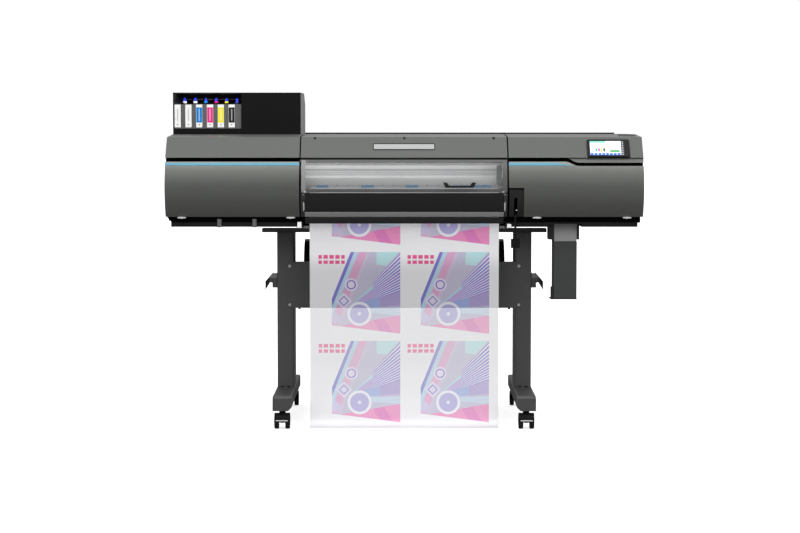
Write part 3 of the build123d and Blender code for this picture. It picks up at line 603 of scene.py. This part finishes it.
def screen_glass():
    """Lit screen behind lightly smudged glass."""
    sh = Shader("screen")
    face = screen_paint(sh)
    smudged = 0.12 + sh.noise(30, detail=4) * 0.1
    return sh.finish(sh.principled(face, smudged, Emission_Color=face, Emission_Strength=0.35,
                                   Coat_Weight=0.4))


def smoky_clear():
    """Clear acrylic with a faint smoke tint, hazed by fine marks."""
    sh = Shader("smoky_clear")
    clear = sh.node("BsdfTransparent", Color=(0.94, 0.945, 0.945, 1))
    gloss = sh.node("BsdfGlossy", Roughness=0.08)
    haze = sh.node("BsdfDiffuse", Color=(0.7, 0.71, 0.71, 1))
    marks = 0.03 + sh.noise(60, detail=5, rough=0.7) * 0.04
    body = sh.blend_shaders(marks, clear.outputs[0], haze.outputs[0])
    mirror = sh.node("Fresnel", IOR=1.3).outputs[0]
    return sh.finish(sh.blend_shaders(mirror, body, gloss.outputs[0]))


# ---------------------------------------------------------------- printed film

PANEL_PITCH = 0.3590
PANEL_LEFT = -0.3520
PANEL_TOP = 0.7035
ROW_PITCH = 0.3600
PANEL_MARGIN = 50               # mm from the left of a panel to where its u starts
SLANT = 0.404                   # how far the slanted edge leans over for each mm down

# The artwork inside one panel, in mm and radians: u to the right, v down.
PRINT_LEFT_U, PRINT_RIGHT_U = 10, 286
SLOPE_START_U = 26              # the foot of the print and the wedge slope from here
FOOT_V, FOOT_SLOPE = 298, 0.125
FIRST_EDGE = 86                 # where the print starts, measured across the slanted edge
EDGE_BANDS = (                  # from and to, measured across the slanted edge
    (60, 100, linear(132, 124, 206)), (76, 84, linear(168, 190, 232)),
    (100, 118, linear(186, 214, 232)), (118, 152, linear(222, 170, 206)),
    (152, 164, linear(205, 196, 218)),
)
FAN_U, FAN_V = 62, 236          # the point the fan and its rays spread from
FAN_LEFT_U = 92
FAN = (                         # from and to, as angles above level
    (0.66, 0.72, linear(176, 222, 228)), (0.30, 0.66, linear(190, 170, 220)),
    (0.10, 0.42, linear(160, 176, 224)), (-0.10, 0.10, linear(186, 198, 226)),
)
# Patch at the upper right, above the fan.
CORNER_ANGLE, CORNER_LEFT_U, CORNER_V, CORNER_SLOPE = 0.82, 190, 62, 0.12
# Broad rays: rays per radian, and the part of each that is inked.
RAYS, RAY_SHARE = 24, 0.42
RAY_ANGLES, RAY_LEFT_U, RAY_GROUND = (0.34, 0.80), 174, 0.75
# Fine rays below them, warm above level and pale about level.
FINE_RAYS, FINE_SHARE = 36, 0.30
WARM_ANGLES, WARM_LEFT_U = (0.04, 0.34), 205
PALE_ANGLES, PALE_LEFT_U = (-0.10, 0.06), 170
# Wedge along the foot, with one leaning stripe.
WEDGE_V, WEDGE_SLOPE = 302, 0.178
STRIPE_SPAN, STRIPE_LEAN, STRIPE_LEFT_U, STRIPE_TOP_V = (10, 60), 0.6, 150, 268
ROUND_SHAPES = (                # centre, then discs (no inner radius) and rings
    (121, 250, ((None, 40, linear(178, 172, 220)), (38, 49, linear(234, 236, 244)),
                (None, 7, linear(232, 226, 240)))),
    (88, 132, ((None, 26, linear(226, 220, 238)), (14, 19, linear(140, 110, 206)))),
)
DIAMOND_SHAPES = (              # the same, measured by the sum of the two distances
    (58, 198, ((None, 34, linear(222, 218, 238)), (16, 21, linear(128, 104, 200)))),
    (24, 268, ((None, 26, linear(206, 198, 230)),)),
)
# Small blocks above the slanted edge.
BLOCK_ROWS = ((12, 27), (34, 48))
BLOCK_SPAN = (-44, 62)
BLOCKS_PER_MM, BLOCK_SHARE = 0.042, 0.74


def film_art(sh, bare):
    """Repeating panel of plain bands, rays and rings: two across, in rows down the film.

    The rows start from the foot of one that is still inside the machine, and two more follow.
    """
    column = ((sh.x - PANEL_LEFT) / PANEL_PITCH).floor()
    row = ((PANEL_TOP - sh.z) / ROW_PITCH).floor()
    u = (sh.x - PANEL_LEFT - column * PANEL_PITCH) * MM_PER_METRE - PANEL_MARGIN
    v = (PANEL_TOP - sh.z - row * ROW_PITCH) * MM_PER_METRE
    in_panels = column.between(-0.5, 1.5) * (row < 1.5)
    edge = u + v * SLANT
    color = sh.color(linear(196, 192, 214))

    def ink(amount, tint):
        nonlocal color
        color = sh.mix(amount, color, tint)

    for low, high, tint in EDGE_BANDS:
        ink(edge.between(low, high), tint)

    angle = (FAN_V - v).op("ARCTAN2", u - FAN_U)
    corner = ((angle > CORNER_ANGLE) * (v < CORNER_V - (PRINT_RIGHT_U - u) * CORNER_SLOPE)
              * (u > CORNER_LEFT_U))
    ink(corner, linear(188, 226, 230))
    in_fan = u > FAN_LEFT_U
    for low, high, tint in FAN:
        ink(angle.between(low, high) * in_fan, tint)
    ray = angle.repeat(RAYS) < RAY_SHARE
    fine = angle.repeat(FINE_RAYS) < FINE_SHARE
    in_rays = u > RAY_LEFT_U
    ink(angle.between(*RAY_ANGLES) * in_rays * RAY_GROUND, linear(226, 222, 242))
    ink(ray * angle.between(*RAY_ANGLES) * in_rays, linear(116, 100, 200))
    ink(fine * angle.between(*WARM_ANGLES) * (u > WARM_LEFT_U), linear(206, 120, 176))
    ink(fine * angle.between(*PALE_ANGLES) * (u > PALE_LEFT_U), linear(222, 244, 246))

    sloped = u - SLOPE_START_U
    wedge = v > WEDGE_V - sloped * WEDGE_SLOPE
    ink(wedge, linear(234, 146, 194))
    stripe = (u - v * STRIPE_LEAN).between(*STRIPE_SPAN)
    ink(wedge * (v > STRIPE_TOP_V) * (u > STRIPE_LEFT_U) * stripe, linear(224, 128, 190))

    for shapes, measure in ((ROUND_SHAPES, length),
                            (DIAMOND_SHAPES, lambda across, down: across.abs() + down.abs())):
        for centre_u, centre_v, layers in shapes:
            away = measure(u - centre_u, v - centre_v)
            for inner, outer, tint in layers:
                ink(away.between(inner, outer) if inner else away < outer, tint)

    inside = ((edge > FIRST_EDGE) * (v > 0) * (u < PRINT_RIGHT_U)
              * (v < FOOT_V + sloped * FOOT_SLOPE) * (u > PRINT_LEFT_U))
    color = sh.mix(inside * in_panels, bare, color)
    upper, lower = (v.between(*span) for span in BLOCK_ROWS)
    block = (upper + lower) * u.between(*BLOCK_SPAN) * (u.repeat(BLOCKS_PER_MM) < BLOCK_SHARE)
    ink((block * in_panels).clamp(), linear(232, 92, 150))
    return color


# The film hangs from the machine in front of this Y and below this height.
HANGING_Y, HANGING_Z = -0.2, 0.83


def film_material():
    """Milky film that lets some of what is behind show through."""
    sh = Shader("film_print")
    bare = sh.color(linear(240, 240, 243))
    # The print hangs only in front; the part that runs inside and behind is bare.
    front = (sh.y < HANGING_Y) * (sh.z < HANGING_Z)
    color = sh.mix(front, bare, film_art(sh, bare))
    # Painted shade: the hanging sheet is painted darker from the beam down, and painted lighter
    # again near the floor.
    painted_shade = sh.z.below(0.69, slope=20) * 0.12 + sh.z.below(0.50, slope=20) * 0.03
    painted_light = sh.z.below(0.27, slope=5.5) * 0.20
    color = sh.shade(color, 0.98 + sh.noise(9, detail=4) * 0.05 - front * (painted_shade - painted_light))
    # Painted light: the sheet glows where it leaves the machine, lifting the shade under the
    # guard.
    painted_glow = front * (sh.z.above(0.75, slope=40) * 0.06 + sh.z.above(0.79, slope=40) * 0.30)
    wave = sh.bump(sh.noise(7, detail=2, rough=0.4, stretch=(1, 1, 0.35)), 0.004, strength=0.5)
    body = sh.principled(color, 0.33 + sh.noise(40) * 0.1, Normal=wave, Emission_Color=color,
                         Emission_Strength=painted_glow)
    glowing = sh.node("BsdfTranslucent", Color=color)
    milky = sh.blend_shaders(0.15, body, glowing.outputs[0])
    # Under the machine the film is backed by its guide, so nothing shows through up there.
    see_through = sh.z.below(0.70, slope=12) * 0.17
    clear = sh.node("BsdfTransparent")
    return sh.finish(sh.blend_shaders(see_through, milky, clear.outputs[0]))


# ---------------------------------------------------------------- looks of the CAD nodes

accent = moulded("accent", linear(62, 140, 166), rough=0.3, grain=1200, grain_microns=10,
                 coat=0.3, dust=0.0)
catch = moulded("catch", linear(190, 190, 188), rough=0.35, grain_microns=30)
black_plastic = moulded("black_plastic", grey(16), rough=0.42, grain=1000, grain_microns=50,
                        dust=0.06)
panel_black = moulded("panel_black", grey(7), grain=1000, grain_microns=40, dust=0.04,
                      wear=0.01, shine=0.3)
trim_grey = moulded("trim_grey", linear(125, 126, 125), rough=0.4, grain=1200, grain_microns=40)
white_plastic = moulded("white_plastic", WHITE, rough=0.4, grain_microns=30)
carriage_shell = moulded("carriage_shell", linear(170, 171, 172), rough=0.42, grain_microns=50)
bottle = moulded("bottle", linear(56, 57, 57), rough=0.4, grain=700)
roller_rubber = moulded("roller_rubber", linear(48, 48, 50), rough=0.7, grain=700,
                        grain_microns=200, dust=0.1)
cover_front = moulded("cover_front", rough=0.32, grain=1500, grain_microns=20, metallic=0.6,
                      flake=0.14, coat=0.2, paint=front_paint)
cover_upper = moulded("cover_upper", rough=0.4, grain=1500, grain_microns=30, metallic=0.25,
                      flake=0.12, coat=0.15, paint=upper_paint)
stand_paint = moulded("stand_paint", rough=0.5, grain=1100, grain_microns=100, coat=0.05,
                      dust=0.03, wear=0.05, paint=stand_coat)
hook_metal = moulded("hook_metal", rough=0.5, grain=1100, grain_microns=100, coat=0.05,
                     dust=0.03, paint=hook_paint)
caster_black = moulded("caster_black", rough=0.5, grain=1000, grain_microns=50, dust=0.02,
                       wear=0.02, shine=0.15, paint=caster_paint)
caster_wheel = moulded("caster_wheel", rough=0.5, grain=800, grain_microns=100, dust=0.1,
                       wear=0.1, paint=wheel_paint)
badge_face = moulded("badge_face", rough=0.3, grain=1200, grain_microns=20, metallic=0.3,
                     coat=0.3, paint=badge_paint)
window_trim = moulded("window_trim", rough=0.4, grain=1200, grain_microns=40, paint=frame_paint)
frame_black = moulded("frame_black", rough=0.6, wear=0.0, shine=0.06, paint=tray_black)
lip_trim = moulded("lip_trim", rough=0.4, grain=1200, grain_microns=40, paint=lip_paint)
housing_black = moulded("housing_black", rough=0.5, grain_microns=50, dust=0.06, wear=0.01,
                        shine=0.3, paint=housing_paint)
rail_metal = moulded("rail_metal", rough=0.42, grain=1400, grain_microns=20, metallic=0.2,
                     dust=0.0, paint=rail_paint)
drain_metal = moulded("drain_metal", grain_microns=50, paint=drain_paint)
knobs = moulded("knobs", rough=0.32, grain_microns=20, dust=0.0, paint=knob_paint)
platen_metal = brushed("platen_metal", linear(150, 151, 153), rough=0.38, metallic=0.7)
steel = brushed("steel", linear(170, 170, 172), rough=0.28)
screw_metal = brushed("screw_metal", along="y", metallic=0.7, paint=screw_paint)

LOOKS = {
    "left_column": stand_paint, "right_column": stand_paint, "left_foot": stand_paint,
    "right_foot": stand_paint, "crossbeam": stand_paint, "side_hooks": hook_metal,
    "roll_supports": stand_paint, "drain_bracket": drain_metal, "stand_screws": screw_metal,
    "mounting_pads": white_plastic, "base_frame": frame_black, "left_side_plate": cover_upper,
    "right_side_plate": cover_upper, "left_top_cover": cover_upper,
    "right_top_cover": cover_upper, "centre_top_cover": cover_upper, "rear_cover": cover_upper,
    "left_front_cover": cover_front, "right_front_cover": cover_front,
    "left_accent_strip": accent, "right_accent_strip": accent, "left_cover_latches": catch,
    "right_cover_latches": catch, "touch_panel": panel_black, "touch_screen": screen_glass(),
    "badge": badge_face, "window_frame": window_trim, "window_pane": smoky_clear(),
    "window_handle": black_plastic, "platen": platen_metal, "front_apron": black_plastic,
    "apron_lip": lip_trim, "lower_guard": black_plastic, "carriage_rail": rail_metal,
    "print_carriage": carriage_shell, "cutting_carriage": carriage_shell, "grit_roller": steel,
    "pinch_arms": steel, "pinch_rollers": roller_rubber, "loading_lever": panel_black,
    "ink_housing": housing_black, "ink_valves": knobs, "media_flanges": black_plastic,
    "drain_bottle": bottle,
}
for end in ("front", "rear"):
    for side in ("left", "right"):
        LOOKS[f"caster_fork_{end}_{side}"] = caster_black
        LOOKS[f"caster_wheels_{end}_{side}"] = caster_wheel
for index in range(len(INKS)):
    tray = f"ink_tray_{index + 1}"
    LOOKS[tray] = moulded(tray, rough=0.4, grain_microns=40, paint=tray_paint(index))
for node, look in LOOKS.items():
    materials = NODES[node].data.materials
    materials.clear()
    materials.append(look)


# ---------------------------------------------------------------- helpers for new pieces


def piece(name, points, faces, material, body, smooth=False):
    """Mesh in the row frame that rides on a body."""
    mesh = bpy.data.meshes.new(name)
    mesh.from_pydata(points, [], faces)
    mesh.materials.append(material)
    mesh.polygons.foreach_set("use_smooth", [smooth] * len(mesh.polygons))
    mesh.update()
    obj = bpy.data.objects.new(name, mesh)
    bpy.context.scene.collection.objects.link(obj)
    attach(obj, body)
    return obj


def strip_faces(rows, width, closed):
    """Quads between rows of points; closed joins the ends of each row."""
    faces = []
    for r in range(rows - 1):
        for c in range(width if closed else width - 1):
            n = (c + 1) % width
            faces.append((r * width + c, r * width + n, (r + 1) * width + n, (r + 1) * width + c))
    return faces


def grid(rows, name, material, body, closed=False):
    """Smooth sheet through rows of points."""
    points = [point for row in rows for point in row]
    faces = strip_faces(len(rows), len(rows[0]), closed)
    return piece(name, points, faces, material, body, smooth=True)


def slab(low, high, name, material, edge):
    """Plate between two corners, on the machine body, with chamfered ends at its top and foot."""
    (x0, y0, z0), (x1, y1, z1) = low, high
    points = []
    for z, inset in ((z0, edge), (z0 + edge, 0), (z1 - edge, 0), (z1, edge)):
        left, right, front, back = x0 + inset, x1 - inset, y0 + inset, y1 - inset
        points += [(left, front, z), (right, front, z), (right, back, z), (left, back, z)]
    faces = strip_faces(4, 4, closed=True) + [(3, 2, 1, 0), (12, 13, 14, 15)]
    return piece(name, points, faces, material, "machine")


def round_bar(x0, x1, y, z, radius, name, material):
    """Bar along X with rounded-off ends, on the machine body."""
    sides = 16
    angles = [2 * math.pi * k / sides for k in range(sides)]
    end = radius * 0.3
    profile = ((x0, 0.0), (x0, radius * 0.8), (x0 + end, radius),
               (x1 - end, radius), (x1, radius * 0.8), (x1, 0.0))
    rows = [[(x, y + r * math.cos(a), z + r * math.sin(a)) for a in angles] for x, r in profile]
    return grid(rows, name, material, "machine", closed=True)


# ---------------------------------------------------------------- film and supply roll

FILM_HALF = 0.381
FRONT_Y = -0.250
BACK_Y = 0.331
FILM_Z = 0.960
FILM_FOOT_Z = 0.612             # where the film leaves the roll behind
BACK_BEND, FRONT_BEND, FLOOR_BEND = 0.080, 0.020, 0.029
FLOOR_BEND_Z = 0.030
TAIL_Z, TAIL_STEPS, TAIL_STEP, TAIL_CURL = 0.0011, 7, 0.0095, 0.00005


def bend(y, z, radius, start, turn, steps):
    """(y, z) points round a centre, from start degrees through turn degrees."""
    angles = [math.radians(start + turn * i / steps) for i in range(steps + 1)]
    return [(y + radius * math.cos(a), z + radius * math.sin(a)) for a in angles]


def between_ends(start, end, steps):
    """Values between two ends, without the ends."""
    return [start + (end - start) * i / steps for i in range(1, steps)]


def film_path():
    """(y, z) points from the supply roll over the platen and down to the floor."""
    over_y, over_z = BACK_Y - BACK_BEND, FILM_Z - BACK_BEND
    down_y, down_z = FRONT_Y + FRONT_BEND, FILM_Z - FRONT_BEND
    floor_y = FRONT_Y - FLOOR_BEND
    points = [(BACK_Y, FILM_FOOT_Z)]
    points += [(BACK_Y, z) for z in between_ends(FILM_FOOT_Z, over_z, 10)]
    points += bend(over_y, over_z, BACK_BEND, 0, 90, 16)
    points += [(y, FILM_Z) for y in between_ends(over_y, down_y, 12)]
    points += bend(down_y, down_z, FRONT_BEND, 90, 90, 8)
    points += [(FRONT_Y, z) for z in between_ends(down_z, FLOOR_BEND_Z, 60)]
    points += bend(floor_y, FLOOR_BEND_Z, FLOOR_BEND, 0, -90, 12)
    points += [(floor_y - i * TAIL_STEP, TAIL_Z + TAIL_CURL * i * i)
               for i in range(1, TAIL_STEPS + 1)]
    return points


SWAY_TOP_Z, SWAY_GROWS = 0.78, 0.3      # the sway starts here and is full this far down
SWAY_WAVES = ((0.0016, 9.0, 3.0), (0.0011, 23.0, -5.0))  # height, radians a metre along X and Z
FLOOR_SHARE = 0.4                       # how much of the sway is left along the floor


def film_sway(x, y, z):
    """How far the hanging part of the film stands off its plane."""
    if y >= 0:
        return 0.0
    free = max(0.0, min(1.0, (SWAY_TOP_Z - z) / SWAY_GROWS))
    sway = free * sum(size * math.sin(x * along + z * up) for size, along, up in SWAY_WAVES)
    return sway if z > FLOOR_BEND_Z else sway * FLOOR_SHARE


def add_film():
    """Film along the path of the CAD web, with a little life in the hanging part."""
    columns = 64
    across = [-FILM_HALF + 2 * FILM_HALF * i / columns for i in range(columns + 1)]
    rows = [[(x, y + film_sway(x, y, z), z) for x in across] for y, z in film_path()]
    sheet = grid(rows, "film_sheet", film_material(), "machine")
    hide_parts("film_web")


CORE_RADIUS, ROLL_RADIUS = 0.038, 0.075
ROLL_LAYERS = 22
LAYER_STEP = 0.0004


def add_roll():
    """Wound film whose layers stand slightly proud of each other at the ends."""
    outline = []
    for i in range(ROLL_LAYERS + 1):
        inset = LAYER_STEP * ((i * 7) % 5)
        radius = CORE_RADIUS + (ROLL_RADIUS - CORE_RADIUS) * i / ROLL_LAYERS
        outline.append((FILM_HALF - inset, radius))
    profile = [(-x, r) for x, r in outline] + outline[::-1] + [(-outline[0][0], outline[0][1])]
    sides = 96
    angles = [math.radians(k * 360 / sides) for k in range(sides)]
    rows = [[(x, ROLL_Y + r * math.cos(a), ROLL_Z + r * math.sin(a)) for a in angles]
            for x, r in profile]
    look = moulded("film_coil", rough=0.35, grain=600, grain_microns=20, dust=0.0,
                   paint=coil_paint)
    coil = grid(rows, "film_coil", look, "supply_roll", closed=True)
    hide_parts("film_roll")


add_film()
add_roll()

# ---------------------------------------------------------------- small fittings

marker_look = moulded("marker_strip", rough=0.4, grain_microns=30, dust=0.0, paint=marker_paint)
copper = brushed("copper", linear(116, 98, 88), rough=0.45, metallic=0.4)

# Black rim along the back of the top.
slab((-0.426, 0.352, 1.1761), (0.905, 0.374, 1.1815), "rear_rim", frame_black, 0.001)
# Behind the window: sheet metal under the rail, marked strip above the film, plate at the right.
slab((-0.4135, 0.0215, 0.966), (0.4135, 0.0240, 1.0118), "rail_skirt", rail_metal, 0.0005)
slab((-0.4125, -0.2080, 0.9618), (0.4125, -0.2060, 1.0005), "marker_strip", marker_look, 0.0004)
slab((0.3720, -0.2220, 0.9750), (0.3940, -0.2200, 1.0620), "inner_plate", trim_grey, 0.0004)
# Thin rod over the ink valves.
round_bar(-0.9525, -0.6745, 0.3060, 1.3235, 0.0014, "valve_rod", copper)

# ---------------------------------------------------------------- stage


def floor_material():
    """Lit nearly white for the camera, dull grey for light that bounces up at the machine."""
    sh = Shader("floor")
    seen = sh.node("BsdfDiffuse", Color=(0.93, 0.93, 0.93, 1))
    glow = sh.node("Emission", Color=(1, 1, 1, 1), Strength=0.62)
    bright = sh.node("AddShader")
    sh.put(bright.inputs[0], seen.outputs[0])
    sh.put(bright.inputs[1], glow.outputs[0])
    dull = sh.node("BsdfDiffuse", Color=(0.22, 0.22, 0.22, 1))
    camera_ray = sh.node("LightPath").outputs["Is Camera Ray"]
    return sh.finish(sh.blend_shaders(camera_ray, dull.outputs[0], bright.outputs[0]))


def add_floor(half):
    corners = [(-half, -half, 0), (half, -half, 0), (half, half, 0), (-half, half, 0)]
    mesh = bpy.data.meshes.new("floor")
    mesh.from_pydata(corners, [], [(0, 1, 2, 3)])
    mesh.materials.append(floor_material())
    floor = bpy.data.objects.new("floor", mesh)
    bpy.context.scene.collection.objects.link(floor)


# Brightness of the surroundings by height, from straight down (0) to straight up (1).
SKY = ((0.0, 0.05), (0.48, 0.10), (0.52, 0.22), (0.66, 0.50), (0.80, 1.0), (1.0, 1.0))
BACKDROP = 1.05


def add_world():
    """White to the camera; a soft gradient, bright above and dim below, for everything else."""
    world = bpy.data.worlds.new("studio")
    bpy.context.scene.world = world
    tree = Tree(world)
    height = tree.split(tree.node("TexCoord").outputs["Generated"])[2]
    ramp = tree.node("ValToRGB", Fac=height.op("MULTIPLY_ADD", 0.5, 0.5))
    elements = ramp.color_ramp.elements
    while len(elements) < len(SKY):
        elements.new(0.5)
    for element, (place, value) in zip(elements, SKY):
        element.position = place
        element.color = (value, value, value, 1)
    soft = tree.node("Background", Color=ramp.outputs[0], Strength=1.0)
    white = tree.node("Background", Color=(1, 1, 1, 1), Strength=BACKDROP)
    camera_ray = tree.node("LightPath").outputs["Is Camera Ray"]
    seen = tree.blend_shaders(camera_ray, soft.outputs[0], white.outputs[0])
    tree.node("OutputWorld", Surface=seen)


def aim(obj, place, target):
    """Put an object in the scene at a place, facing a target."""
    obj.location = place
    obj.rotation_euler = (Vector(target) - Vector(place)).to_track_quat("-Z", "Y").to_euler()
    bpy.context.scene.collection.objects.link(obj)


def add_area(name, place, target, size, power, reflected=False):
    """Soft rectangular light, hidden from the camera."""
    light = bpy.data.lights.new(name, "AREA")
    light.shape = "RECTANGLE"
    light.size, light.size_y = size
    light.energy = power
    obj = bpy.data.objects.new(name, light)
    obj.visible_camera = False
    obj.visible_glossy = reflected
    aim(obj, place, target)


add_floor(half=60)
add_world()
add_area("key", (-3.0, -7.0, 5.6), (0, 0, 0.9), (4.0, 3.0), 200)
add_area("fill", (3.6, -7.0, 3.4), (0, 0, 0.7), (3.5, 3.0), 160)
add_area("low_fill", (0, -7.5, 0.9), (0, 0, 0.5), (3.0, 1.0), 20)
add_area("softbox", (0, -3.5, 7.0), (0, 0, 1.0), (9.0, 1.6), 140, reflected=True)
# The machine's own lamps, behind the window and in the ink bay.
add_area("window_lamp", (-0.01, -0.150, 1.075), (-0.01, 0.02, 1.0), (0.80, 0.04), 1.05)
add_area("window_end_lamp", (-0.36, -0.150, 1.070), (-0.38, 0.02, 1.0), (0.06, 0.04), 0.12)
add_area("bay_lamp", (-0.815, 0.02, 1.340), (-0.815, 0.29, 1.310), (0.27, 0.02), 1.4)

# ---------------------------------------------------------------- camera at the photo's angle

EYE = (-0.0035, -8.4397, 1.2209)
AIM = (-0.0176, 0.0, 0.6276)
camera_data = bpy.data.cameras.new("camera")
camera_data.sensor_width = 36
camera_data.lens = 91.62
camera = bpy.data.objects.new("camera", camera_data)
aim(camera, EYE, AIM)
bpy.context.scene.camera = camera
bpy.context.scene.view_settings.view_transform = "Standard"
